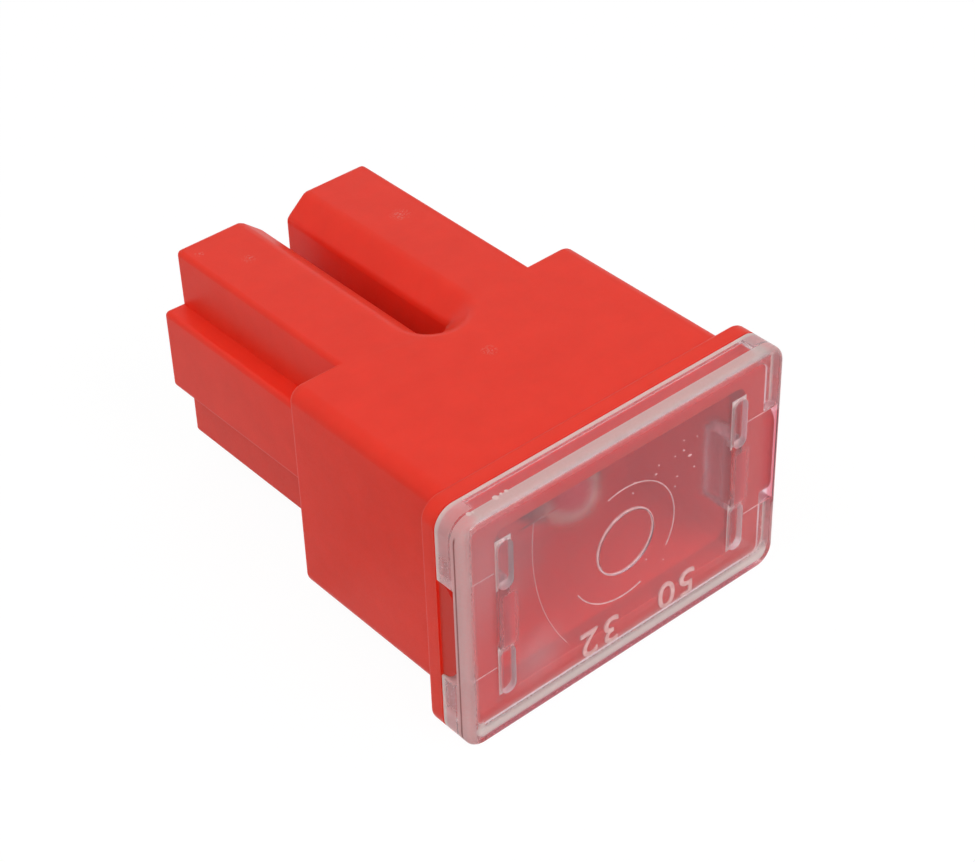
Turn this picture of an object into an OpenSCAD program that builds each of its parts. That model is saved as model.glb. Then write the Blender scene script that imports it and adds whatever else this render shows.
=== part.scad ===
// Female cartridge fuse with a clip-on window, lying on one broad side.
// X runs across the width, Y from the window back to the two legs, Z up.
// Lengths along Y are counted from the window's face. The last step of each
// module moves the piece so that the origin is the middle of the base.

/* [Window cover] */
// Width of the cover and of the collar behind it
cover_w = 20.6; // [19:0.1:24]
// Thickness of the cover and of the collar
cover_t = 13.8; // [13.2:0.1:17]
// Radius of the cover's four corners
cover_r = 1.1; // [0.6:0.1:1.6]
// Radius along the edge of the window's face
cover_edge_r = 0.3; // [0.15:0.05:0.5]
// Thickness of the window plate
plate_t = 0.65; // [0.5:0.05:1]
// Depth of the skirt behind the plate
skirt_d = 1.1; // [0.9:0.05:1.8]
// Wall thickness of the skirt
skirt_t = 0.9; // [0.6:0.05:1.05]
// Length of the gap in each side of the skirt
notch_l = 5.9; // [5.2:0.1:7]
// Radius of the gate mark in the middle of the plate
gate_r = 2.1; // [1:0.1:3]
// Depth of the gate mark on the inner side
gate_d = 0.1; // [0.05:0.05:0.2]

/* [Cover latches] */
// Distance of the latch slots from the middle
slot_x = 7.55; // [7.2:0.05:7.6]
// Width of each slot
slot_w = 0.9; // [0.6:0.05:1]
// Distance of a slot's inner end from the middle
slot_from = 1.8; // [1.4:0.1:2.2]
// Length of each slot
slot_l = 2.9; // [2:0.1:3.2]
// Depth of each slot in the plate's inner side
slot_d = 0.4; // [0.2:0.05:0.45]
// Width of the latch arm
arm_w = 4.4; // [3.6:0.1:5]
// Thickness of the latch arm
arm_t = 0.7; // [0.5:0.05:0.9]
// Length of the latch arm behind the plate
arm_l = 1.9; // [1.6:0.1:3]
// Reach of the hook at the arm's tip
hook_h = 0.4; // [0.25:0.05:0.45]
// Length of the hook along the arm
hook_l = 0.9; // [0.6:0.1:1.2]

/* [Housing] */
// Thickness of the collar along the fuse
collar_t = 0.95; // [0.7:0.05:1.5]
// Length of the body between the collar and the shoulders
body_l = 11.2; // [10:0.1:14]
// Width of the body
body_w = 18.3; // [17.8:0.1:18.6]
// Thickness of the body
body_t = 12.35; // [12:0.05:12.6]
// Height of the body's middle above the collar's middle
body_up = 0.22; // [0:0.02:0.24]
// Radius of the body's long edges
body_r = 0.8; // [0.4:0.1:1.1]
// Wall thickness of the body
wall = 1.15; // [0.95:0.05:1.3]
// Depth of the open chamber behind the window
chamber_d = 8.6; // [8:0.1:10]
// Radius of the chamber's corners
chamber_r = 0.6; // [0.3:0.1:1]
// Radius of the corners of the rim under the cover
rim_r = 0.4; // [0.2:0.1:0.8]
// Step from the collar's side down to the boss in the skirt's gap
boss_in = 0.1; // [0.05:0.01:0.2]
// Radius of the boss's two front corners
boss_r = 1.1; // [0.6:0.1:1.4]

/* [Legs] */
// Length of the legs behind the shoulders
leg_l = 13.45; // [12:0.05:16]
// Gap between the two legs
leg_gap = 1.56; // [1.2:0.02:1.8]
// Width of each leg without its rail
leg_w = 5.42; // [5.3:0.02:5.8]
// Height of the legs' underside above the body's underside
leg_up = 0.65; // [0.3:0.05:0.8]
// Step by which a leg's lower part is wider than its upper part
leg_step = 0.15; // [0:0.05:0.3]
// Reach of the side rail beyond the upper part of the leg
rail_out = 1.18; // [0.8:0.02:1.4]
// Height of the side rail
rail_h = 4.85; // [4:0.05:5.5]
// Height of the rail's underside above the leg's underside
rail_up = 3.58; // [3:0.02:4]
// Width of the chamfer on each leg's inner top edge
chamfer_w = 1.35; // [1:0.05:1.6]
// Height of that chamfer
chamfer_h = 1.13; // [0.8:0.01:1.3]
// Distance from the shoulders back to the centre of the slot's round end
slot_back = 0.4; // [0.2:0.05:1]
// Wall thickness of the legs
leg_wall = 0.9; // [0.8:0.02:0.95]
// Thickness of the wall above the terminal cavities
leg_roof = 1.4; // [1.3:0.05:1.6]
// Thickness of the wall at the legs' ends
end_t = 1.0; // [0.8:0.1:1.5]
// Width of the blade opening
entry_w = 1.7; // [1.5:0.05:1.9]
// Height of the blade opening
entry_h = 8.2; // [7.8:0.1:8.4]
// Width of the lead-in round the blade opening
lead_in = 0.4; // [0.2:0.05:0.5]

/* [Fuse strip] */
// Thickness of the strip that the terminals and the link are stamped from
strip_t = 0.6; // [0.5:0.05:0.7]
// Thickness of the blades that the terminals take
blade_t = 0.8; // [0.8:0.05:0.9]
// Length of the terminals
term_l = 10.9; // [9:0.1:11]
// Length of each lip folded over the blade
lip_l = 2.1; // [1.5:0.1:2.8]
// Width of the two necks between the terminals and the link
neck_w = 4.4; // [4:0.1:6]
// Depth of the necks behind the window's face
neck_y = 6.9; // [6.8:0.1:7.2]
// Depth of the link's crown behind the window's face
link_y = 4.3; // [4:0.1:4.7]
// Height of the link above the terminals' middle
link_up = 0.4; // [0:0.1:0.6]
// Width of the link
link_w = 1.6; // [1.2:0.1:2.4]
// Width of the link's arch over its outer faces
arch_w = 5.2; // [5:0.1:5.4]
// Length of the narrow part of the link
link_l = 6.2; // [5.8:0.1:6.6]
// Inner radius of the bends in the strip
bend_r = 0.6; // [0.4:0.05:0.7]
// Radius of the eye in the middle of the link
eye_r = 1.3; // [1.2:0.05:1.4]
// Radius of the hole in the eye
eye_hole_r = 0.6; // [0.4:0.05:0.8]
// Radius of the tin pellet's head
pellet_r = 1.75; // [1.5:0.05:1.9]
// Height of the tin pellet's domed head
pellet_h = 1.0; // [0.8:0.05:1.3]
// Thickness of the pellet's foot behind the link
foot_t = 0.35; // [0.25:0.05:0.5]

/* [Contact springs] */
// Thickness of the spring sheet
spring_t = 0.25; // [0.2:0.05:0.3]
// Width of the spring
spring_w = 6.2; // [5:0.1:7]
// Length of the spring
spring_l = 9.4; // [8:0.1:9.8]
// Length of the flat foot at each end of the spring
spring_foot = 0.9; // [0.6:0.1:1.2]

/* [Fits] */
// Clearance between pieces that slide or clip together
fit = 0.05; // [0.03:0.01:0.08]

/* [Hidden] */
$fn = 64;

// Extra length by which a cut runs past the face it opens
past = 0.5;

// Stations along the fuse, from the window's face
cover_d = plate_t + skirt_d;
rim_front = plate_t + fit;
collar_front = cover_d + fit;
collar_back = collar_front + collar_t;
shoulder = collar_back + body_l;
overall_l = shoulder + leg_l;
slot_end = shoulder + slot_back;
cavity_back = overall_l - end_t;

// Heights of the body and the legs, from the collar's middle
body_top = body_up + body_t / 2;
body_base = body_up - body_t / 2;
leg_base = body_base + leg_up;
rail_base = leg_base + rail_up;

// Distances from the middle plane
leg_in = leg_gap / 2;
leg_out = leg_in + leg_w;
rim_w = cover_w - 2 * (skirt_t + fit);
rim_t = cover_t - 2 * (skirt_t + fit);
chamber_w = body_w - 2 * wall;
chamber_t = body_t - 2 * wall;

// Terminal cavity inside the right leg
cavity_in = leg_in + leg_wall;
cavity_out = leg_out - leg_wall;
cavity_base = leg_base + wall;
cavity_top = body_top - leg_roof;
cavity_mid = (cavity_base + cavity_top) / 2;

// Terminal inside the right cavity
term_in = cavity_in + fit;
term_out = cavity_out - fit;
term_h = cavity_top - cavity_base - 2 * fit;
term_back = cavity_back - fit;
term_front = term_back - term_l;
contact_x = term_out - strip_t;
blade_x = contact_x - blade_t / 2;

// Latch arm and the pocket that its hook catches in
arm_out = chamber_w / 2 - 2 * fit;
arm_tip = plate_t + arm_l;
hook_front = arm_tip - hook_l;

// A flat outline in X and Z, made solid from y0 to y1
module along_y(y0, y1) {
    translate([0, y1, 0]) rotate([90, 0, 0]) linear_extrude(y1 - y0) children();
}

// A flat outline in Y and Z, made solid over the length l about X = 0
module along_x(l) {
    translate([-l / 2, 0, 0]) rotate([90, 0, 90]) linear_extrude(l) children();
}

// A flat outline in X and Y, made solid over the height h about Z = z
module along_z(h, z = 0) {
    translate([0, 0, z - h / 2]) linear_extrude(h) children();
}

// A shape and its mirror image across the middle plane
module both_sides() {
    children();
    mirror([1, 0, 0]) children();
}

// Moves a piece so that the origin is the middle of the base
module in_frame() {
    translate([0, -overall_l / 2, cover_t / 2]) children();
}

// Rectangle with round corners, centred
module round_rect(w, h, r) {
    square([w, h - 2 * r], center = true);
    square([w - 2 * r, h], center = true);
    for (x = [-1, 1], z = [-1, 1])
        translate([x * (w / 2 - r), z * (h / 2 - r)]) circle(r);
}

// Section of a slab of depth d whose two front corners are rounded
module slab_section(w, d, r) {
    translate([-w / 2, r]) square([w, d - r]);
    translate([-w / 2 + r, 0]) square([w - 2 * r, d]);
    for (x = [-1, 1]) translate([x * (w / 2 - r), r]) circle(r);
}

// Slab in X and Z with round corners and a rounded edge round its front face
module soft_slab(w, h, d, corner_r, edge_r) {
    along_z(h - 2 * corner_r) slab_section(w, d, edge_r);
    along_x(w - 2 * corner_r) rotate(90) mirror([0, 1]) slab_section(h, d, edge_r);
    for (x = [-1, 1], z = [-1, 1])
        translate([x * (w / 2 - corner_r), 0, z * (h / 2 - corner_r)])
            rotate([-90, 0, 0]) rotate_extrude() intersection() {
                slab_section(2 * corner_r, d, edge_r);
                square([corner_r, d]);
            }
}

// ---- Housing ----

// Outline of the right leg, seen from the window
module leg_outline() {
    low_out = leg_out + leg_step;
    rail_x = leg_out + rail_out;
    polygon([
        [leg_in, leg_base], [low_out, leg_base],
        [low_out, rail_base], [rail_x, rail_base],
        [rail_x, rail_base + rail_h], [leg_out, rail_base + rail_h],
        [leg_out, body_top], [leg_in, body_top]
    ]);
}

// Round-ended slot between the legs, with a chamfer round its top edge
module leg_slot() {
    length = overall_l + past - slot_end;
    translate([0, slot_end, 0]) {
        along_z(2 * cover_t) {
            circle(leg_in);
            translate([-leg_in, 0]) square([leg_gap, length]);
        }
        translate([0, 0, body_top - chamfer_h]) {
            cylinder(h = chamfer_h, r1 = leg_in, r2 = leg_in + chamfer_w);
            along_y(0, length) polygon([
                [-leg_in, 0], [leg_in, 0],
                [leg_in + chamfer_w, chamfer_h], [-leg_in - chamfer_w, chamfer_h]
            ]);
        }
    }
}

// Cavity for the right terminal, from the chamber to the end wall
module terminal_cavity() {
    along_y(chamber_d - past, cavity_back)
        translate([cavity_in, cavity_base]) square([cavity_out - cavity_in, cavity_top - cavity_base]);
}

// Blade opening in the end of the right leg, with its lead-in
module blade_entry() {
    flare = lead_in + past;
    translate([blade_x, 0, cavity_mid]) {
        along_y(cavity_back - past, overall_l + past) square([entry_w, entry_h], center = true);
        intersection() {
            along_z(entry_h + 2 * flare) polygon([
                [-entry_w / 2, overall_l - lead_in], [entry_w / 2, overall_l - lead_in],
                [entry_w / 2 + flare, overall_l + past], [-entry_w / 2 - flare, overall_l + past]
            ]);
            along_x(entry_w + 2 * flare) polygon([
                [overall_l - lead_in, -entry_h / 2], [overall_l + past, -entry_h / 2 - flare],
                [overall_l + past, entry_h / 2 + flare], [overall_l - lead_in, entry_h / 2]
            ]);
        }
    }
}

// Boss that fills the gap in the right side of the skirt
module side_boss() {
    inside = rim_w / 2 - skirt_t;
    outside = cover_w / 2 - boss_in;
    depth = collar_back - rim_front;
    translate([(inside + outside) / 2, rim_front, 0])
        along_x(outside - inside) rotate(90) mirror([0, 1]) intersection() {
            slab_section(notch_l - 2 * fit, 2 * depth, boss_r);
            translate([-notch_l / 2, 0]) square([notch_l, depth]);
        }
}

// Pocket in the right wall for the hook of the latch arm
module latch_pocket() {
    translate([0, hook_front - fit, -arm_w / 2 - fit])
        cube([arm_out + hook_h + fit, hook_l + 2 * fit, arm_w + 2 * fit]);
}

module housing() {
    color("#d93a2b") in_frame() difference() {
        union() {
            along_y(rim_front, collar_back) round_rect(rim_w, rim_t, rim_r);
            along_y(collar_front, collar_back) round_rect(cover_w, cover_t, cover_r);
            along_y(collar_front, shoulder) translate([0, body_up]) round_rect(body_w, body_t, body_r);
            both_sides() along_y(shoulder - wall, overall_l) leg_outline();
            both_sides() side_boss();
        }
        along_y(-past, chamber_d) translate([0, body_up]) round_rect(chamber_w, chamber_t, chamber_r);
        leg_slot();
        both_sides() {
            terminal_cavity();
            blade_entry();
            latch_pocket();
        }
    }
}

// ---- Window cover ----

// Round-ended slots above and below the right latch arm
module latch_slots() {
    straight = slot_l - slot_w;
    for (z = [-1, 1]) translate([slot_x, z * (slot_from + slot_l / 2)]) {
        square([slot_w, straight], center = true);
        for (end = [-1, 1]) translate([0, end * straight / 2]) circle(d = slot_w);
    }
}

// Right latch arm with its hook
module latch_arm() {
    along_z(arm_w) polygon([
        [arm_out - arm_t, plate_t - gate_d], [arm_out, plate_t - gate_d],
        [arm_out, hook_front], [arm_out + hook_h, hook_front],
        [arm_out, arm_tip], [arm_out - arm_t, arm_tip]
    ]);
}

module cover() {
    color([0.95, 0.93, 0.93, 0.4]) in_frame() difference() {
        union() {
            difference() {
                soft_slab(cover_w, cover_t, cover_d, cover_r, cover_edge_r);
                along_y(plate_t, cover_d + past)
                    round_rect(rim_w + 2 * fit, rim_t + 2 * fit, rim_r + fit);
                along_y(plate_t, cover_d + past)
                    square([cover_w + 2 * past, notch_l], center = true);
                along_y(plate_t - gate_d, plate_t + past) circle(gate_r);
            }
            both_sides() latch_arm();
        }
        both_sides() along_y(plate_t - slot_d, plate_t) latch_slots();
    }
}

// ---- Fuse strip ----

// Section of the right terminal: a flat contact with two folded lips
module terminal_section() {
    difference() {
        translate([term_in, -term_h / 2]) square([term_out - term_in, term_h]);
        translate([term_in + strip_t, strip_t - term_h / 2])
            square([contact_x - term_in - strip_t, term_h - 2 * strip_t]);
        translate([term_in - past, lip_l - term_h / 2])
            square([strip_t + 2 * past, term_h - 2 * lip_l]);
    }
}

// Bend through a quarter turn, in the quarter where X is positive and Y is negative
module strip_bend() {
    intersection() {
        difference() {
            circle(bend_r + strip_t);
            circle(bend_r);
        }
        translate([0, -bend_r - strip_t]) square(bend_r + strip_t);
    }
}

// Right half of the strip in plan: the link's crown, down the arch, the neck and the contact
module strip_plan() {
    arch_x = arch_w / 2;
    crown_x = arch_x - strip_t - bend_r;
    foot_x = arch_x + bend_r;
    contact_out = term_out - strip_t - bend_r;
    crown_y = link_y + strip_t + bend_r;
    foot_y = neck_y - bend_r;
    contact_y = neck_y + strip_t + bend_r;
    translate([0, link_y]) square([crown_x, strip_t]);
    translate([crown_x, crown_y]) strip_bend();
    translate([arch_x - strip_t, crown_y]) square([strip_t, foot_y - crown_y]);
    translate([foot_x, foot_y]) rotate(180) strip_bend();
    translate([foot_x, neck_y]) square([contact_out - foot_x, strip_t]);
    translate([contact_out, contact_y]) strip_bend();
    translate([contact_x, contact_y]) square([strip_t, term_front + past - contact_y]);
}

// Outline of the strip seen from the window: two necks, the narrow link and its eye
module strip_front() {
    translate([0, link_up]) {
        square([2 * term_out, link_w], center = true);
        circle(eye_r);
    }
    for (x = [-1, 1]) translate([x * (link_l / 2 + term_out) / 2, 0])
        square([term_out - link_l / 2, neck_w], center = true);
}

module fuse_strip() {
    color("#c9b08a") in_frame() translate([0, 0, cavity_mid]) {
        difference() {
            intersection() {
                along_z(neck_w) both_sides() strip_plan();
                along_y(0, term_back) strip_front();
            }
            along_y(0, neck_y) translate([0, link_up]) circle(eye_hole_r);
        }
        both_sides() along_y(term_front, term_back) terminal_section();
    }
}

// Tin pellet riveted through the eye: dome in front, shank, flat foot behind
module tin_pellet() {
    dome_r = (pellet_r * pellet_r + pellet_h * pellet_h) / (2 * pellet_h);
    color("#a9adae") in_frame() translate([0, link_y, cavity_mid + link_up]) rotate([90, 0, 0])
        rotate_extrude() {
            intersection() {
                translate([0, pellet_h - dome_r]) circle(dome_r);
                square([pellet_r, pellet_h]);
            }
            translate([0, -strip_t - foot_t]) square([eye_r, foot_t]);
            translate([0, -strip_t - foot_t]) square([eye_hole_r - fit, strip_t + foot_t + past]);
        }
}

// ---- Contact springs ----

// Bowed leaf in the right terminal: its feet lie on the lips and its crown bears on the blade
module contact_spring() {
    foot_x = term_in + strip_t;
    crown_x = contact_x - blade_t;
    half = spring_l / 2 - spring_foot;
    rise = crown_x - foot_x - spring_t;
    bow_r = (half * half + rise * rise) / (2 * rise);
    bow_a = asin(half / bow_r);
    mid_y = term_back - term_l / 2;
    color("#c8ccd0") in_frame() translate([0, mid_y, cavity_mid - spring_w / 2]) {
        translate([crown_x - spring_t - bow_r, 0, 0]) rotate(-bow_a)
            rotate_extrude(angle = 2 * bow_a) translate([bow_r, 0]) square([spring_t, spring_w]);
        for (y = [-1, 1]) translate([foot_x, y > 0 ? half - spring_t : -spring_l / 2, 0])
            cube([spring_t, spring_foot + spring_t, spring_w]);
    }
}

module contact_spring_left() {
    mirror([1, 0, 0]) contact_spring();
}

module contact_spring_right() {
    contact_spring();
}

housing();
cover();
fuse_strip();
tin_pellet();
contact_spring_left();
contact_spring_right();
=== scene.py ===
"""Finishes, rounded edges, window marks and studio for a female cartridge fuse."""

from math import pi, radians

import bmesh
import bpy
from mathutils import Matrix, Vector


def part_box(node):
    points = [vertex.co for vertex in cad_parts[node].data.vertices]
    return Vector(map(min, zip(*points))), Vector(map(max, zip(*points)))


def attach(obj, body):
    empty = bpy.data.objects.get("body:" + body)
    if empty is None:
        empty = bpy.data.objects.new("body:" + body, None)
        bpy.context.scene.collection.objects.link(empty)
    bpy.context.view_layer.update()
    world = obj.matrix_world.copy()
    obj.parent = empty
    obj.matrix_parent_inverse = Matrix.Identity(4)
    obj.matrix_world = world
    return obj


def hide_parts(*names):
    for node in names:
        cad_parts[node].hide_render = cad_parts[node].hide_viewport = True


bl_info = {
    "name": "Cartridge Fuse",
    "version": (1, 0, 0),
    "blender": (4, 5, 0),
    "location": "3D View > Sidebar > Fuse",
    "description": "Dresses the packed cartridge fuse: moulded edges, window marks, finishes and studio",
    "category": "Object",
}

MM = 0.001
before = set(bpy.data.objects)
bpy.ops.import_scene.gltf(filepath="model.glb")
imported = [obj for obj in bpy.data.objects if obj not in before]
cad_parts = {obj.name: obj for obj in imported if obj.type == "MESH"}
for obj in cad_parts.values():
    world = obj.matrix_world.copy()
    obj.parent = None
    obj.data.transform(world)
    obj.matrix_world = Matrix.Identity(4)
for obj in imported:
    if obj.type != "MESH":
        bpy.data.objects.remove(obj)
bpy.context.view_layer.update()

COVER_LOW, COVER_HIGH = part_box("cover")
COVER_MIDDLE = (COVER_LOW + COVER_HIGH) / 2
HALF_COVER = (COVER_HIGH - COVER_LOW) / 2

# Radius of the corners that the cover and the collar have, and places along the fuse
CORNER = 1.1 * MM
PLATE_BACK = COVER_LOW.y + 0.65 * MM
SKIRT_BACK = COVER_LOW.y + 1.75 * MM
COLLAR_BACK = COVER_LOW.y + 2.75 * MM
SHOULDER = 0.25 * MM

# Room round the blade opening in each leg, out from the middle plane and up from the base
OPENING_X = (2.9 * MM, 5.6 * MM)
OPENING_Z = (2.7 * MM, 11.9 * MM)

# Point that the lamps face
LAMP_AIM = Vector((0, 0, 7 * MM))

# The sizes from here to FLASH are in millimetres, and the places are from the plate's middle unless they
# say otherwise.

# Middle of a latch slot, with its half width and half length
SLOT_X, SLOT_Z = 7.55, 3.25
SLOT_HALF_X, SLOT_HALF_Z = 0.5, 1.5
# Half height of the gap in each side of the skirt
GAP_Z = 2.95

# Middle of the inner ring
RING_MIDDLE = (0.12, 0.02)

# Thickness of the marks' beads, and the mould's witness lines: place across, place up, and length
BEAD = 0.1
WITNESS_LINES = tuple((x, z, 2.1) for x in (-9.15, 9.15) for z in (-2.92, 2.92))

# Long mark at the left: radius, first and last angle in degrees; and its middle
LONG_ARC = (12.4, 172, 214)
LONG_ARC_MIDDLE = (6.6, 2.8)

# Numerals and their places across, the place up of their feet, and what makes them bold, deep and wide
NUMERALS = (("5", 4.35), ("0", 2.95), ("3", -0.8), ("2", -2.25))
NUMERALS_Z = -4.3
NUMERAL_BOLD, NUMERAL_DEPTH, NUMERAL_WIDE = 0.002, 0.02, 1.1

# Rubs on the top of the housing: place across, place along from the origin, and radius
RUBS = ((-0.1, -4.0, 0.55), (4.4, 8.3, 0.75), (-3.9, 10.4, 0.5), (-5.5, 12.5, 0.35))

# Specks behind the plate: place across, place up, length and width
SPECKS = (
    (4.31, 2.97, 0.26, 0.12), (3.89, 3.5, 0.12, 0.1), (3.47, 2.15, 0.12, 0.08), (2.06, 3.05, 0.18, 0.09),
    (2.24, 3.5, 0.09, 0.08), (4.62, 2.13, 0.12, 0.08), (3.36, 1.59, 0.08, 0.1), (3.3, 3.46, 0.08, 0.07),
    (3.87, 4.12, 0.07, 0.07), (4.75, 3.89, 0.07, 0.08), (0.57, 2.73, 0.08, 0.1), (0.62, 3.31, 0.16, 0.08),
    (1.51, -1.94, 0.09, 0.07), (2.68, -2.63, 0.07, 0.07),
)

# Slivers of flash on the plate's top edge: place across, place back from the front, and reach
FLASH = ((-7.6, 0.66, 0.24), (-6.95, 0.68, 0.16), (-7.25, 0.7, 0.12), (-9.2, 0.62, 0.2), (-9.0, 0.58, 0.12))


# ---- Settings ----


class FuseHousing(bpy.types.PropertyGroup):
    """The red moulded housing."""

    edge: bpy.props.FloatProperty(
        name="Edge radius", description="Radius of the edges of the legs and shoulders",
        default=0.3 * MM, min=0.02 * MM, max=0.4 * MM, precision=5, unit="LENGTH",
    )
    collar_edge: bpy.props.FloatProperty(
        name="Collar edge radius", description="Radius of the edge round the collar's back",
        default=0.2 * MM, min=0.02 * MM, max=0.4 * MM, precision=5, unit="LENGTH",
    )
    colour: bpy.props.FloatVectorProperty(
        name="Colour", description="Colour of the red plastic",
        default=(0.96, 0.043, 0.02), size=3, min=0, max=1, subtype="COLOR",
    )
    roughness: bpy.props.FloatProperty(
        name="Roughness", description="Roughness of the moulded surface",
        default=0.42, min=0, max=1, subtype="FACTOR",
    )
    grain: bpy.props.FloatProperty(
        name="Grain", description="Size of the fine grain left by the mould",
        default=0.09 * MM, min=0.02 * MM, max=0.5 * MM, precision=5, unit="LENGTH",
    )


class FuseWindow(bpy.types.PropertyGroup):
    """The clear cover and the marks on its plate."""

    edge: bpy.props.FloatProperty(
        name="Edge radius", description="Radius of the edge round the plate's front",
        default=0.3 * MM, min=0.02 * MM, max=0.5 * MM, precision=5, unit="LENGTH",
    )
    fine_edge: bpy.props.FloatProperty(
        name="Fine edge radius", description="Largest radius of the cover's other edges",
        default=0.06 * MM, min=0.01 * MM, max=0.2 * MM, precision=5, unit="LENGTH",
    )
    colour: bpy.props.FloatVectorProperty(
        name="Colour", description="Tint of the clear plastic",
        default=(0.94, 0.83, 0.88), size=3, min=0, max=1, subtype="COLOR",
    )
    haze: bpy.props.FloatProperty(
        name="Haze", description="Share of light that the flat of the plate scatters",
        default=0.0, min=0, max=1, subtype="FACTOR",
    )
    frost: bpy.props.FloatProperty(
        name="Frosting", description="Share of light that the plate's edges scatter",
        default=0.65, min=0, max=1, subtype="FACTOR",
    )
    ring: bpy.props.FloatProperty(
        name="Inner ring", description="Radius of the ring round the gate mark",
        default=1.83 * MM, min=MM, max=4 * MM, precision=5, unit="LENGTH",
    )
    outer_ring: bpy.props.FloatProperty(
        name="Outer ring", description="Radius of the fainter outer ring",
        default=3.34 * MM, min=2 * MM, max=5 * MM, precision=5, unit="LENGTH",
    )
    numeral: bpy.props.FloatProperty(
        name="Numeral height", description="Height of the numerals inside the plate",
        default=1.62 * MM, min=0.5 * MM, max=3 * MM, precision=5, unit="LENGTH",
    )


class FuseMetal(bpy.types.PropertyGroup):
    """The fuse strip, the tin pellet and the contact springs."""

    strip: bpy.props.FloatVectorProperty(
        name="Strip", description="Colour of the stamped fuse strip",
        default=(0.3, 0.1, 0.085), size=3, min=0, max=1, subtype="COLOR",
    )
    tin: bpy.props.FloatVectorProperty(
        name="Tin", description="Colour of the tin pellet",
        default=(0.86, 0.84, 0.7), size=3, min=0, max=1, subtype="COLOR",
    )
    steel: bpy.props.FloatVectorProperty(
        name="Spring", description="Colour of the contact springs",
        default=(0.66, 0.67, 0.68), size=3, min=0, max=1, subtype="COLOR",
    )


class FuseStage(bpy.types.PropertyGroup):
    """Camera, light and floor."""

    azimuth: bpy.props.FloatProperty(
        name="Azimuth", description="Direction of view, from +Y towards +X",
        default=radians(39.382), subtype="ANGLE",
    )
    elevation: bpy.props.FloatProperty(
        name="Elevation", description="Height of the camera above the horizon",
        default=radians(37.873), subtype="ANGLE",
    )
    roll: bpy.props.FloatProperty(
        name="Roll", description="Turn of the camera about its line of sight",
        default=radians(-2.19), subtype="ANGLE",
    )
    distance: bpy.props.FloatProperty(
        name="Distance", description="Distance from the camera to the aim point",
        default=118.616 * MM, min=0.02, precision=5, unit="LENGTH",
    )
    aim: bpy.props.FloatVectorProperty(
        name="Aim", description="Point that the camera looks at",
        default=(0.984 * MM, -1.105 * MM, 6.605 * MM), size=3, precision=5,
        subtype="TRANSLATION", unit="LENGTH",
    )
    lens: bpy.props.FloatProperty(
        name="Lens", description="Focal length for a sensor 36 mm wide",
        default=85.866, min=10, max=300,
    )
    shift: bpy.props.FloatVectorProperty(
        name="Shift", description="Shift of the picture sideways and up, as a share of the sensor's width",
        default=(0.01647, -0.0082), size=2, precision=5,
    )
    lamp: bpy.props.FloatProperty(
        name="Lamp", description="Power of the soft overhead lamp",
        default=0.23, min=0, unit="POWER",
    )
    window_lamp: bpy.props.FloatProperty(
        name="Window lamp", description="Power of the soft lamp in front of the window",
        default=0.28, min=0, unit="POWER",
    )
    surroundings: bpy.props.FloatProperty(
        name="Surroundings", description="Strength of the light from all round",
        default=0.45, min=0, max=2,
    )


# ---- Materials ----


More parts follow.
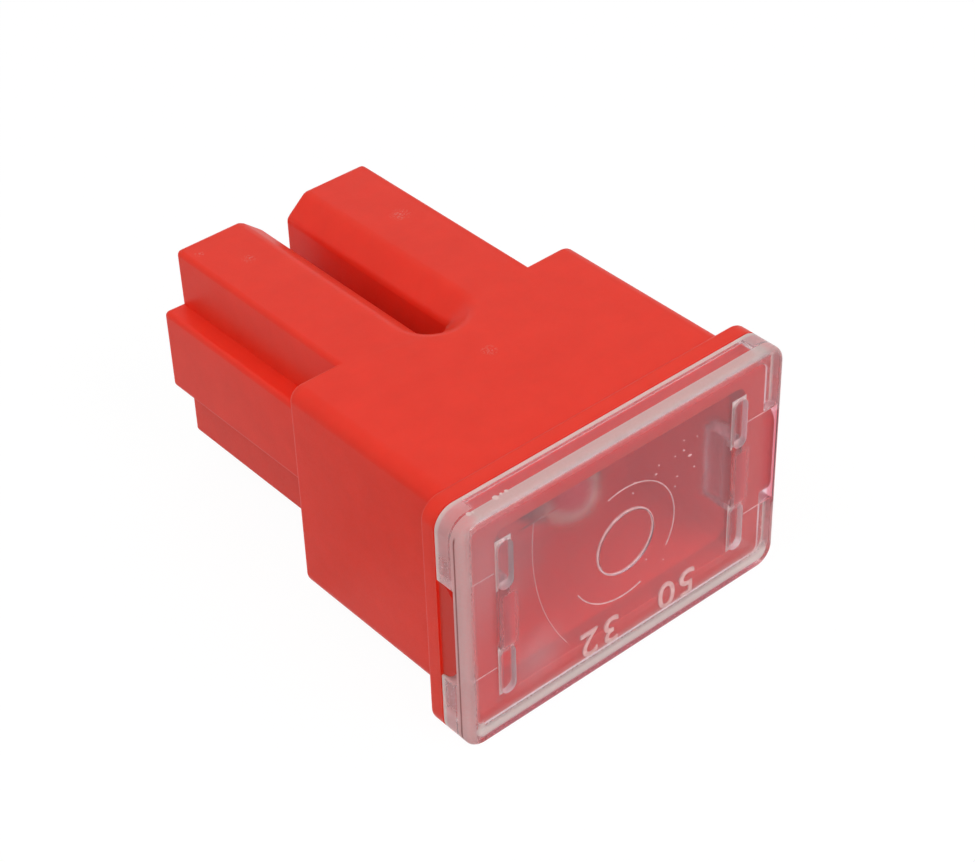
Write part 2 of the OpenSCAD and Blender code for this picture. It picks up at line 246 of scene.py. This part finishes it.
class Finish:
    """A new material with its nodes, and helpers that add to them."""

    def __init__(self, name):
        self.material = bpy.data.materials.new(name)
        self.material.use_nodes = True
        self.tree = self.material.node_tree
        self.shader = self.tree.nodes["Principled BSDF"]
        self.place = self.node("ShaderNodeTexCoord").outputs["Object"]

    def node(self, kind, inputs=None, **values):
        made = self.tree.nodes.new(kind)
        for key, value in values.items():
            setattr(made, key, value)
        for key, value in (inputs or {}).items():
            self.put(value, made.inputs[key])
        return made

    def put(self, value, socket):
        if isinstance(value, bpy.types.NodeSocket):
            self.tree.links.new(value, socket)
        else:
            socket.default_value = value

    def set(self, **values):
        for key, value in values.items():
            self.put(value, self.shader.inputs[key.replace("_", " ")])

    def stretched(self, scale):
        return self.node("ShaderNodeMapping", {"Vector": self.place, "Scale": scale}).outputs["Vector"]

    def noise(self, size, detail=2.0, roughness=0.5, vector=None):
        return self.node(
            "ShaderNodeTexNoise",
            {"Vector": vector or self.place, "Scale": 1 / size, "Detail": detail, "Roughness": roughness},
        ).outputs["Fac"]

    def between(self, value, low, high, from_low=0.0, from_high=1.0):
        return self.node(
            "ShaderNodeMapRange",
            {"Value": value, "From Min": from_low, "From Max": from_high, "To Min": low, "To Max": high},
        ).outputs["Result"]

    def blend(self, factor, first, second):
        mix = self.node("ShaderNodeMix", data_type="RGBA")
        for value, socket in ((factor, mix.inputs[0]), (first, mix.inputs[6]), (second, mix.inputs[7])):
            self.put(value, socket)
        return mix.outputs[2]

    def maths(self, operation, first, second=0.0):
        return self.node("ShaderNodeMath", {0: first, 1: second}, operation=operation).outputs["Value"]

    def show(self, share, other):
        """Shows another shader where the share is 1, and the material's own where it is 0."""
        mix = self.node("ShaderNodeMixShader", {0: share, 1: self.shader.outputs["BSDF"], 2: other})
        self.put(mix.outputs["Shader"], self.tree.nodes["Material Output"].inputs["Surface"])

    def lets_light_through(self, tint):
        """Lamps shine straight through, so that what lies behind is lit."""
        clear = self.node("ShaderNodeBsdfTransparent", {"Color": tint}).outputs["BSDF"]
        self.show(self.node("ShaderNodeLightPath").outputs["Is Shadow Ray"], clear)

    def away(self, axis, centre=0.0):
        """Distance from the plane that lies at the centre of one axis."""
        split = self.node("ShaderNodeSeparateXYZ", {0: self.place})
        return self.maths("ABSOLUTE", self.maths("SUBTRACT", split.outputs[axis], centre))

    def beyond(self, value, limit):
        """How far a value runs past a limit, and 0 short of it."""
        return self.maths("MAXIMUM", self.maths("SUBTRACT", value, limit), 0.0)

    def apart(self, value, centre):
        """Distance of a value from a centre in millimetres."""
        return self.maths("ABSOLUTE", self.maths("SUBTRACT", value, centre * MM))

    def below(self, value, full, none):
        """1 up to one value, falling to 0 at another, both in millimetres."""
        return self.between(value, 1.0, 0.0, full * MM, none * MM)

    def other(self, share):
        """What a share leaves over."""
        return self.maths("SUBTRACT", 1.0, share)

    def times(self, *factors):
        value = factors[0]
        for factor in factors[1:]:
            value = self.maths("MULTIPLY", value, factor)
        return value

    def most(self, *values):
        value = values[0]
        for other in values[1:]:
            value = self.maths("MAXIMUM", value, other)
        return value

    def near(self, point, radius):
        """1 at a point, falling to 0 at the radius."""
        gap = self.node("ShaderNodeVectorMath", {0: self.place, 1: point}, operation="DISTANCE")
        return self.between(gap.outputs["Value"], 1.0, 0.0, 0.0, radius)

    def bump(self, height, depth, strength=1.0):
        return self.node(
            "ShaderNodeBump", {"Height": height, "Distance": depth, "Strength": strength}
        ).outputs["Normal"]


def shade(colour, factor):
    return tuple(min(1.0, c * factor) for c in colour) + (1.0,)


def red_plastic(settings):
    finish = Finish("red_plastic")
    flow = finish.noise(2.6 * MM, 3.0, 0.6)
    colour = finish.blend(
        finish.between(flow, 0.0, 1.0, 0.3, 0.7), shade(settings.colour, 0.95), shade(settings.colour, 1.04)
    )
    top = Vector((0, 0, COVER_HIGH.z - 0.5 * MM))
    rubs = finish.most(*(
        finish.near(top + Vector((x, y, 0)) * MM, radius * MM) for x, y, radius in RUBS
    ))
    scratch = finish.between(finish.noise(0.14 * MM, 4.0, 0.7), 0.0, 1.0, 0.5, 0.62)
    rubs = finish.times(finish.between(rubs, 0.0, 1.0, 0.15, 0.6), scratch, 0.5)
    colour = finish.blend(rubs, colour, (0.9, 0.36, 0.3, 1.0))
    place = finish.node("ShaderNodeSeparateXYZ", {0: finish.place}).outputs
    # Painted shade: the housing in front of the skirt's back, under the cover, is darkened, and more so
    # towards the top and the +X side
    rim = finish.below(finish.maths("SUBTRACT", place["Y"], SKIRT_BACK), -0.05, 0.0)
    far = finish.most(
        finish.between(finish.maths("SUBTRACT", place["Z"], COVER_MIDDLE.z), 0.0, 1.0, 2.5 * MM, 5 * MM),
        finish.between(place["X"], 0.0, 1.0, 6 * MM, 8 * MM),
    )
    shadow = finish.blend(far, shade(settings.colour, 0.73), shade(settings.colour, 0.66))
    colour = finish.blend(rim, colour, shadow)
    grain = finish.noise(settings.grain, 3.0, 0.6)
    ripple = finish.noise(1.4 * MM, 2.0)
    rough = finish.between(grain, settings.roughness - 0.05, settings.roughness + 0.07, 0.3, 0.7)
    height = finish.maths("ADD", finish.times(grain, 0.6), ripple)
    finish.set(Base_Color=colour, Roughness=rough, Normal=finish.bump(height, 0.012 * MM, 0.5))
    finish.set(
        IOR=1.5, Specular_IOR_Level=0.2, Subsurface_Weight=0.6, Subsurface_Scale=1.6 * MM,
        Subsurface_Radius=(1.0, 0.12, 0.06),
    )
    return finish.material


def frosting(finish):
    """How frosted the cover is, and where it takes a tint: whitish where it is frosted, and pink and red as
    painted light from the red housing.

    Each mask is 1 in its zone and 0 elsewhere. The distances that bound them are in millimetres.
    """
    # Zones by side and height, and distances in from the sides, in from the outline and back from the front
    place = finish.node("ShaderNodeSeparateXYZ", {0: finish.place}).outputs
    x, z = finish.away("X"), finish.away("Z", COVER_MIDDLE.z)
    left = finish.below(place["X"], -0.5, 0.5)
    low = finish.below(finish.maths("SUBTRACT", place["Z"], COVER_LOW.z), 0.9, 1.8)
    in_gap = finish.below(z, GAP_Z - 0.05, GAP_Z + 0.05)
    side_inset = finish.maths("SUBTRACT", HALF_COVER.x, x)
    past_x = finish.beyond(x, HALF_COVER.x - CORNER)
    past_z = finish.beyond(z, HALF_COVER.z - CORNER)
    squares = finish.maths("ADD", finish.times(past_x, past_x), finish.times(past_z, past_z))
    inset = finish.maths("SUBTRACT", CORNER, finish.maths("SQRT", squares))
    depth = finish.away("Y", COVER_LOW.y)
    behind = finish.other(finish.below(depth, 0.76, 0.82))
    in_front = finish.below(depth, 0.3, 0.4)
    bare = finish.times(in_gap, finish.other(left))
    # The plate's edge, and the pale line along its foot
    fade = finish.times(finish.below(inset, 0.0, 0.36), finish.other(low), finish.other(bare))
    fade = finish.most(fade, finish.times(finish.below(side_inset, 0.25, 0.85), left))
    edge = finish.times(finish.below(depth, 0.66, 0.7), fade)
    line = finish.times(finish.below(finish.apart(inset, 0.85), 0.14, 0.36), low, in_front)
    # The skirt: its corners, back edge, sides and the ends of its gaps, and the latch arms
    corners = finish.times(behind, finish.below(side_inset, 1.3, 1.7), finish.below(inset, 0.08, 0.16))
    corners = finish.times(corners, finish.other(finish.below(z, 3.1, 5.4)))
    rear = finish.below(finish.away("Y", SKIRT_BACK), 0.2, 0.3)
    rear = finish.times(rear, finish.below(inset, 0.08, 0.16))
    sides = finish.times(behind, finish.below(side_inset, 1.0, 1.05))
    ends = finish.times(sides, finish.below(finish.apart(z, GAP_Z), 0.05, 0.12))
    arms = finish.times(behind, finish.below(x, 8.0, 8.05), finish.below(z, 2.25, 2.3))
    # The walls and mouths of the latch slots, and the bars between two slots
    across, along = finish.apart(x, SLOT_X), finish.apart(z, SLOT_Z)
    in_slot = finish.times(
        finish.below(across, SLOT_HALF_X - 0.04, SLOT_HALF_X),
        finish.below(along, SLOT_HALF_Z - 0.04, SLOT_HALF_Z),
        finish.below(finish.away("Y", PLATE_BACK), 0.36, 0.42),
    )
    floor = finish.times(
        finish.below(across, SLOT_HALF_X - 0.2, SLOT_HALF_X - 0.16),
        finish.below(along, SLOT_HALF_Z - 0.26, SLOT_HALF_Z - 0.2),
    )
    slots = finish.times(in_slot, finish.other(floor))
    mouths = finish.times(slots, finish.below(finish.away("Y", PLATE_BACK), 0.08, 0.14))
    bars = finish.times(finish.below(across, 0.3, 0.65), finish.below(z, 1.5, 1.9), in_front)
    # Flash, the rim at the plate's foot, a worn hazy patch at the top left, and a painted soft highlight
    # made as a second hazy patch
    flash = finish.most(*(
        finish.near(Vector((x * MM, COVER_LOW.y + y * MM, COVER_HIGH.z)), size * MM) for x, y, size in FLASH
    ))
    flash = finish.between(flash, 0.0, 1.0, 0.2, 0.6)
    rim = finish.times(
        finish.below(inset, 0.5, 0.66), low, in_front, finish.other(finish.below(side_inset, 0.9, 1.5)),
    )
    worn = finish.near(COVER_LOW + Vector((0.4, 0, 11)) * MM, 5.5 * MM)
    # Painted highlight: extra haze in a patch low on the left, for a soft pale streak
    highlight_patch = finish.near(COVER_LOW + Vector((4.5, 0, 3.4)) * MM, 2.2 * MM)
    shares = (
        (edge, 1.0), (line, 1.5), (flash, 1.3), (rear, 0.9), (ends, 0.8), (arms, 0.3), (mouths, 1.3),
        (slots, 0.6), (sides, 0.4), (worn, 0.2), (highlight_patch, 0.2), (corners, 0.7), (bars, 0.6), (rim, 0.4),
        (behind, 0.04),
    )
    grit = finish.between(finish.noise(0.12 * MM, 3.0, 0.6), 0.8, 1.12, 0.3, 0.7)
    frost = finish.times(finish.most(*(finish.times(mask, share) for mask, share in shares)), grit)
    bright = finish.most(mouths, line, flash, finish.times(rear, 0.8))
    # Painted light: a pink tint on the frosted sides for the housing's red light scattered in the plastic
    scattered_red_light = finish.times(finish.below(side_inset, 0.9, 1.3), finish.other(bright))
    # Painted light: red on the rim at the plate's foot and along the edges of the gaps, for the red housing
    # seen through the plastic
    red = finish.most(finish.times(bare, finish.below(side_inset, 0.3, 1.0)), rim)
    bare_edge = finish.times(bare, finish.below(side_inset, 0.32, 0.5))
    # Painted shade: a dark line on the left side, 0.42 mm back from the front, where the rounding of the
    # front edge ends
    in_edge_shade_line = finish.below(finish.apart(depth, 0.42), 0.03, 0.08)
    edge_shade_line = finish.times(left, finish.below(side_inset, 0.03, 0.1), in_edge_shade_line)
    # Painted light in the tints: the pink on the sides, the latch arms, the bars and the skirt's corners,
    # and the red on the foot rim and gap edges, stand for the housing's red light
    tints = (
        (finish.times(scattered_red_light, frost), (0.88, 0.53, 0.52)), (arms, (1.0, 0.62, 0.62)),
        (bars, (0.93, 0.24, 0.26)), (finish.times(corners, 0.5), (1.0, 0.5, 0.5)),
        (finish.times(slots, 0.8), (1.0, 0.78, 0.75)), (bright, (1.0, 0.93, 0.88)),
        (red, (0.85, 0.36, 0.46)), (bare_edge, (0.7, 0.12, 0.16)), (edge_shade_line, (0.3, 0.06, 0.05)),
    )
    return frost, tints


def clear_plastic(settings):
    finish = Finish("clear_plastic")
    frost, tints = frosting(finish)
    cloud = finish.noise(1.8 * MM, 2.0)
    clear = finish.blend(cloud, shade(settings.colour, 0.98), shade(settings.colour, 1.0))
    colour = finish.blend(frost, clear, (0.78, 0.66, 0.63, 1.0))
    for share, tint in tints:
        colour = finish.blend(share, colour, (*tint, 1.0))
    haze = finish.between(frost, settings.haze, settings.frost)
    ripple = finish.noise(0.9 * MM, 2.0)
    finish.set(
        Base_Color=colour, Roughness=finish.between(frost, 0.14, 0.45),
        Normal=finish.bump(ripple, 0.006 * MM, 0.4), Transmission_Weight=finish.other(haze),
        IOR=1.42, Specular_Tint=(1.0, 0.77, 0.9, 1.0),
    )
    finish.lets_light_through(finish.blend(frost, (0.95, 0.9, 0.92, 1.0), (0.35, 0.3, 0.32, 1.0)))
    return finish.material


def frosted_marks():
    finish = Finish("frosted_marks")
    patch = finish.between(finish.noise(0.3 * MM, 3.0), 0.0, 1.0, 0.3, 0.7)
    finish.set(
        Base_Color=finish.blend(patch, (0.84, 0.46, 0.42, 1.0), (1.0, 0.72, 0.66, 1.0)),
        Roughness=0.5, IOR=1.45,
    )
    return finish.material


def plated_metal(name, colour, rough, drawn=(1, 1, 1), red_reflection=None):
    """A metal, drawn out along an axis; the last argument gives the point and reach of a painted red
    reflection of the housing.
    """
    finish = Finish(name)
    lines = finish.noise(0.12 * MM, 3.0, 0.6, finish.stretched(drawn))
    stain = finish.between(finish.noise(1.6 * MM, 3.0), 0.0, 1.0, 0.35, 0.75)
    colour = finish.blend(stain, shade(colour, 1.06), shade(colour, 0.72))
    if red_reflection:
        # Painted reflection: a red patch for the red housing mirrored in the pellet's dome
        red_reflection_share = finish.between(finish.near(*red_reflection), 0.0, 1.0, 0.2, 0.5)
        colour = finish.blend(red_reflection_share, colour, (0.55, 0.035, 0.045, 1.0))
    finish.set(
        Base_Color=colour, Metallic=0.55 if red_reflection else 1.0,
        Roughness=finish.between(lines, rough - 0.06, rough + 0.1, 0.3, 0.7),
        Normal=finish.bump(lines, 0.006 * MM, 0.5),
    )
    return finish.material


# ---- Modelling helpers ----


def added(name, data):
    """A new object in the scene."""
    made = bpy.data.objects.new(name, data)
    bpy.context.scene.collection.objects.link(made)
    return made


def as_mesh(bm, name):
    """A new mesh from a bmesh, which is freed."""
    mesh = bpy.data.meshes.new(name)
    bm.to_mesh(mesh)
    bm.free()
    return mesh


def finished(name, mesh, material, node=None):
    """Puts a mesh into the scene as a piece that rides on the fuse."""
    piece = added(name, mesh)
    mesh.materials.clear()
    mesh.materials.append(material)
    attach(piece, "root")
    if node:
        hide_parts(node)
    return piece


def on_legs(point):
    """True on the shoulders and legs and round the slot's end, but not in the blade openings."""
    in_opening = OPENING_X[0] < abs(point.x) < OPENING_X[1] and OPENING_Z[0] < point.z < OPENING_Z[1]
    slot_end = abs(point.x) < 2.3 * MM and point.y > -2 * MM and point.z > 13.2 * MM
    return slot_end or (point.y > SHOULDER - 0.05 * MM and not in_opening)


def on_collar(point):
    """True on the outline of the collar's back."""
    outside = abs(point.x) > HALF_COVER.x - CORNER or not 0.5 * MM < point.z < COVER_HIGH.z - 0.3 * MM
    return outside and abs(point.y - COLLAR_BACK) < 0.2 * MM


def on_plate_outline(point):
    """True on the outline of the plate's front."""
    across, up = abs(point.x), abs(point.z - COVER_MIDDLE.z)
    outside = across > HALF_COVER.x - CORNER or up > HALF_COVER.z - 0.05 * MM
    return outside and point.y < COVER_LOW.y + 0.05 * MM


def moulded_copy(node, name, rounded):
    """A merged copy of a CAD solid, with the edges that each test picks rounded.

    The test None picks all sharp edges that are left, and lets no two of their roundings overlap.
    """
    bm = bmesh.new()
    bm.from_mesh(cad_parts[node].data)
    bmesh.ops.remove_doubles(bm, verts=bm.verts, dist=0.001 * MM)
    bmesh.ops.dissolve_limit(
        bm, angle_limit=radians(0.5), use_dissolve_boundaries=False, verts=bm.verts, edges=bm.edges
    )
    bmesh.ops.connect_verts_concave(bm, faces=bm.faces)
    for chosen, radius in rounded:
        sharp = [
            e for e in bm.edges
            if e.is_manifold and e.is_convex and e.calc_face_angle(0) > radians(30)
            and (chosen is None or all(chosen(v.co) for v in e.verts))
        ]
        bmesh.ops.bevel(
            bm, geom=sharp, offset=radius, offset_type="OFFSET", affect="EDGES", segments=4,
            profile=0.5, material=-1, clamp_overlap=chosen is None, loop_slide=False,
        )
    for face in bm.faces:
        face.smooth = True
    for edge in bm.edges:
        edge.smooth = edge.calc_face_angle(pi) < radians(40)
    return as_mesh(bm, name)


def weigh_normals(piece):
    """Keeps large faces flat in the shading, beside their rounded edges."""
    weigh = piece.modifiers.new("Weighted normals", "WEIGHTED_NORMAL")
    weigh.keep_sharp = True
    weigh.weight = 80


def on_plate(x, z, lift=0.0):
    """A point at or over the plate's inner face, from sizes in millimetres."""
    return Vector((COVER_MIDDLE.x + x * MM, PLATE_BACK + lift * MM, COVER_MIDDLE.z + z * MM))


def add_bead(bm, radius, start, end, thick, middle=(0.0, 0.0)):
    """A fine raised line along an arc on the plate's inner face, between two angles in degrees."""
    turn = radians(end - start)
    spot = on_plate(*middle, thick * 0.55)
    ring = bmesh.ops.create_circle(bm, cap_ends=False, radius=thick * MM / 2, segments=8)["verts"]
    place = (
        Matrix.Translation(spot) @ Matrix.Rotation(-radians(start), 4, "Y")
        @ Matrix.Translation((radius * MM, 0, 0))
    )
    bmesh.ops.transform(bm, matrix=place, verts=ring)
    outline = list(dict.fromkeys(e for v in ring for e in v.link_edges))
    bmesh.ops.spin(
        bm, geom=outline, cent=spot, axis=(0, -1, 0), angle=turn, steps=max(8, int(turn * 16)),
        use_merge=end - start == 360,
    )


def add_stroke(bm, x, z, length, thick):
    """A fine straight line along the plate's inner face."""
    place = Matrix.Translation(on_plate(x, z, thick * 0.55)) @ Matrix.Rotation(pi / 2, 4, "Y")
    bmesh.ops.create_cone(
        bm, cap_ends=True, cap_tris=False, segments=8, radius1=thick * MM / 2, radius2=thick * MM / 2,
        depth=length * MM, matrix=place,
    )


def add_speck(bm, x, z, length, width):
    """A bright speck caught behind the plate."""
    stretch = Matrix.Diagonal((length * MM / 2, width * MM / 3, width * MM / 2, 1))
    place = Matrix.Translation(on_plate(x, z, width * 0.4)) @ stretch
    bmesh.ops.create_icosphere(bm, subdivisions=2, radius=1, matrix=place)


# ---- Operators ----


class FUSE_OT_housing(bpy.types.Operator):
    """Rounds the housing's moulded edges and gives it its red plastic"""

    bl_idname = "fuse.housing"
    bl_label = "Housing"

    def execute(self, context):
        settings = context.scene.fuse_housing
        rounded = ((on_legs, settings.edge), (on_collar, settings.collar_edge))
        mesh = moulded_copy("housing", "moulded_housing", rounded)
        weigh_normals(finished("moulded_housing", mesh, red_plastic(settings), "housing"))
        return {"FINISHED"}


class FUSE_OT_window(bpy.types.Operator):
    """Rounds the clear cover's edges and gives it its clear plastic"""

    bl_idname = "fuse.window"
    bl_label = "Window cover"

    def execute(self, context):
        settings = context.scene.fuse_window
        rounded = ((on_plate_outline, settings.edge), (None, settings.fine_edge))
        mesh = moulded_copy("cover", "window_cover", rounded)
        self.draw_in_gate_mark(mesh, settings)
        weigh_normals(finished("window_cover", mesh, clear_plastic(settings), "cover"))
        return {"FINISHED"}

    def draw_in_gate_mark(self, mesh, settings):
        """Draws the shallow round gate mark in to its ring, on the plate's inner side."""
        bm = bmesh.new()
        bm.from_mesh(mesh)
        middle = on_plate(0, 0)
        # The mark lies within 2.4 mm of the plate's middle and is less than 0.2 mm deep
        around = [v for v in bm.verts if (v.co - middle).length < 2.4 * MM]
        rim = [v for v in around if abs(v.co.y - middle.y) < 0.2 * MM]
        share = settings.ring / max((v.co - middle).length for v in rim)
        place = Matrix.Translation(on_plate(*RING_MIDDLE)) @ Matrix.Diagonal((share, 1, share, 1))
        bmesh.ops.transform(bm, matrix=place @ Matrix.Translation(-middle), verts=rim)
        bm.to_mesh(mesh)
        bm.free()


class FUSE_OT_window_marks(bpy.types.Operator):
    """Adds the ring marks and the plain numerals on the inner side of the plate"""

    bl_idname = "fuse.window_marks"
    bl_label = "Window marks"

    def execute(self, context):
        settings = context.scene.fuse_window
        material = frosted_marks()
        bm = bmesh.new()
        outer = settings.outer_ring / MM
        add_bead(bm, settings.ring / MM, 0, 360, BEAD, RING_MIDDLE)
        add_bead(bm, outer, -32, 108, 0.6 * BEAD)
        add_bead(bm, outer, -152, -70, 0.7 * BEAD)
        add_bead(bm, *LONG_ARC, 0.28 * BEAD, LONG_ARC_MIDDLE)
        for line in WITNESS_LINES:
            add_stroke(bm, *line, 0.5 * BEAD)
        for speck in SPECKS:
            add_speck(bm, *speck)
        bmesh.ops.recalc_face_normals(bm, faces=bm.faces)
        for face in bm.faces:
            face.smooth = True
        finished("ring_marks", as_mesh(bm, "ring_marks"), material)
        self.add_numerals(context, settings, material)
        return {"FINISHED"}

    def add_numerals(self, context, settings, material):
        """Plain numerals, upside down along the plate's lower edge."""
        bm = bmesh.new()
        upside_down = Matrix.Rotation(pi, 4, "Y") @ Matrix.Rotation(pi / 2, 4, "X")
        for sign, x in NUMERALS:
            curve = bpy.data.curves.new("numeral", "FONT")
            curve.body = sign
            curve.align_x = "CENTER"
            curve.resolution_u = 4
            curve.offset = NUMERAL_BOLD
            curve.extrude = NUMERAL_DEPTH
            text = added("numeral", curve)
            shape = bpy.data.meshes.new_from_object(text.evaluated_get(context.evaluated_depsgraph_get()))
            bpy.data.objects.remove(text)
            bpy.data.curves.remove(curve)
            low = Vector([min(v.co[i] for v in shape.vertices) for i in range(3)])
            high = Vector([max(v.co[i] for v in shape.vertices) for i in range(3)])
            centred = Matrix.Translation((-(low.x + high.x) / 2, -low.y, 0))
            scale = settings.numeral / (high.y - low.y)
            size = Matrix.Diagonal((NUMERAL_WIDE * scale, scale, scale, 1))
            spot = Matrix.Translation(on_plate(x, NUMERALS_Z, 0.03))
            shape.transform(spot @ upside_down @ size @ centred)
            bm.from_mesh(shape)
            bpy.data.meshes.remove(shape)
        finished("window_numerals", as_mesh(bm, "window_numerals"), material)


class FUSE_OT_metalwork(bpy.types.Operator):
    """Gives the fuse strip, the tin pellet and the contact springs their metals"""

    bl_idname = "fuse.metalwork"
    bl_label = "Metalwork"

    def execute(self, context):
        settings = context.scene.fuse_metal
        low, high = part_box("tin_pellet")
        front = Vector(((low.x + high.x) / 2, low.y, (low.z + high.z) / 2))
        # Where the painted red reflection of the housing sits on the tin pellet
        red_reflection_spot = front + Vector((-0.5, 0.7, 0.8)) * MM
        metals = {
            "fuse_strip": plated_metal("copper_alloy", settings.strip, 0.3, (0.1, 0.1, 1)),
            "tin_pellet": plated_metal("tin", settings.tin, 0.4, red_reflection=(red_reflection_spot, 2 * MM)),
        }
        steel = plated_metal("spring_steel", settings.steel, 0.2, (1, 0.1, 1))
        metals["contact_spring_left"] = metals["contact_spring_right"] = steel
        for name, metal in metals.items():
            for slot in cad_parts[name].material_slots:
                slot.material = metal
        return {"FINISHED"}


class FUSE_OT_studio(bpy.types.Operator):
    """Sets the floor, the soft light, the surroundings and the camera"""

    bl_idname = "fuse.studio"
    bl_label = "Studio"

    def execute(self, context):
        settings = context.scene.fuse_stage
        self.add_floor()
        self.add_lamp("overhead_softbox", 0.2, settings.lamp, (-0.16, -0.02, 0.3))
        self.add_lamp("window_softbox", 0.16, settings.window_lamp, (0.04, -0.23, 0.27))
        self.add_surroundings(context, settings)
        self.add_camera(context, settings)
        context.scene.view_settings.view_transform = "Standard"
        return {"FINISHED"}

    def seen_directly(self, tree):
        """1 for rays from the camera or off and through shiny things, and 0 for soft light."""
        path = tree.nodes.new("ShaderNodeLightPath")
        value = path.outputs["Is Camera Ray"]
        for name in ("Is Glossy Ray", "Is Transmission Ray"):
            most = tree.nodes.new("ShaderNodeMath")
            most.operation = "MAXIMUM"
            tree.links.new(value, most.inputs[0])
            tree.links.new(path.outputs[name], most.inputs[1])
            value = most.outputs["Value"]
        return value

    def add_floor(self):
        bm = bmesh.new()
        bmesh.ops.create_grid(bm, x_segments=2, y_segments=2, size=0.6)
        bmesh.ops.translate(bm, verts=bm.verts, vec=(0, 0, -0.02 * MM))
        floor = added("floor", as_mesh(bm, "floor"))
        finish = Finish("pale_floor")
        finish.set(Base_Color=(0.7, 0.7, 0.7, 1.0), Roughness=0.8)
        glow = finish.node("ShaderNodeEmission", {"Color": (1, 1, 1, 1), "Strength": 0.96})
        pale = finish.node("ShaderNodeBsdfDiffuse", {"Color": (0.06, 0.06, 0.06, 1)})
        white = finish.node("ShaderNodeAddShader", {0: pale.outputs["BSDF"], 1: glow.outputs["Emission"]})
        finish.show(self.seen_directly(finish.tree), white.outputs["Shader"])
        floor.data.materials.append(finish.material)

    def add_lamp(self, name, size, power, spot):
        data = bpy.data.lights.new(name, "AREA")
        data.shape = "DISK"
        data.size = size
        data.energy = power
        lamp = added(name, data)
        lamp.location = spot
        lamp.rotation_euler = (LAMP_AIM - lamp.location).to_track_quat("-Z", "Y").to_euler()

    def add_surroundings(self, context, settings):
        world = bpy.data.worlds.new("studio")
        world.use_nodes = True
        context.scene.world = world
        tree = world.node_tree
        soft = tree.nodes["Background"]
        soft.inputs["Color"].default_value = (1, 1, 1, 1)
        soft.inputs["Strength"].default_value = settings.surroundings
        white = tree.nodes.new("ShaderNodeBackground")
        white.inputs["Strength"].default_value = 1.0
        white.inputs["Color"].default_value = (1, 1, 1, 1)
        mix = tree.nodes.new("ShaderNodeMixShader")
        tree.links.new(self.seen_directly(tree), mix.inputs[0])
        tree.links.new(soft.outputs["Background"], mix.inputs[1])
        tree.links.new(white.outputs["Background"], mix.inputs[2])
        tree.links.new(mix.outputs["Shader"], tree.nodes["World Output"].inputs["Surface"])

    def add_camera(self, context, settings):
        data = bpy.data.cameras.new("camera")
        data.sensor_width = 36
        data.lens = settings.lens
        data.shift_x, data.shift_y = settings.shift
        data.clip_start = 0.005
        data.clip_end = 10
        camera = added("camera", data)
        turn = (
            Matrix.Rotation(-settings.azimuth, 4, "Z")
            @ Matrix.Rotation(pi / 2 - settings.elevation, 4, "X")
            @ Matrix.Rotation(settings.roll, 4, "Z")
        )
        back = turn @ Vector((0, 0, settings.distance))
        camera.matrix_world = Matrix.Translation(Vector(settings.aim) + back) @ turn
        context.scene.camera = camera


class FUSE_PT_panel(bpy.types.Panel):
    """Lists the fuse's sizes, finishes and steps"""

    bl_idname = "FUSE_PT_panel"
    bl_label = "Cartridge Fuse"
    bl_space_type = "VIEW_3D"
    bl_region_type = "UI"
    bl_category = "Fuse"

    def draw(self, context):
        for title, group, operators in PANEL:
            box = self.layout.box()
            box.label(text=title)
            settings = getattr(context.scene, group)
            for name in settings.__annotations__:
                box.prop(settings, name)
            for operator in operators:
                box.operator(operator.bl_idname)


STEPS = (FUSE_OT_housing, FUSE_OT_window, FUSE_OT_window_marks, FUSE_OT_metalwork, FUSE_OT_studio)
PANEL = (
    ("Housing", "fuse_housing", (FUSE_OT_housing,)),
    ("Window", "fuse_window", (FUSE_OT_window, FUSE_OT_window_marks)),
    ("Metal", "fuse_metal", (FUSE_OT_metalwork,)),
    ("Studio", "fuse_stage", (FUSE_OT_studio,)),
)
GROUPS = {
    "fuse_housing": FuseHousing,
    "fuse_window": FuseWindow,
    "fuse_metal": FuseMetal,
    "fuse_stage": FuseStage,
}


def register():
    for cls in (*GROUPS.values(), *STEPS, FUSE_PT_panel):
        bpy.utils.register_class(cls)
    for name, group in GROUPS.items():
        setattr(bpy.types.Scene, name, bpy.props.PointerProperty(type=group))


def unregister():
    for name in GROUPS:
        delattr(bpy.types.Scene, name)
    for cls in reversed((*GROUPS.values(), *STEPS, FUSE_PT_panel)):
        bpy.utils.unregister_class(cls)


def main():
    register()
    for step in STEPS:
        getattr(bpy.ops.fuse, step.bl_idname.split(".")[1])()


if __name__ == "__main__":
    main()
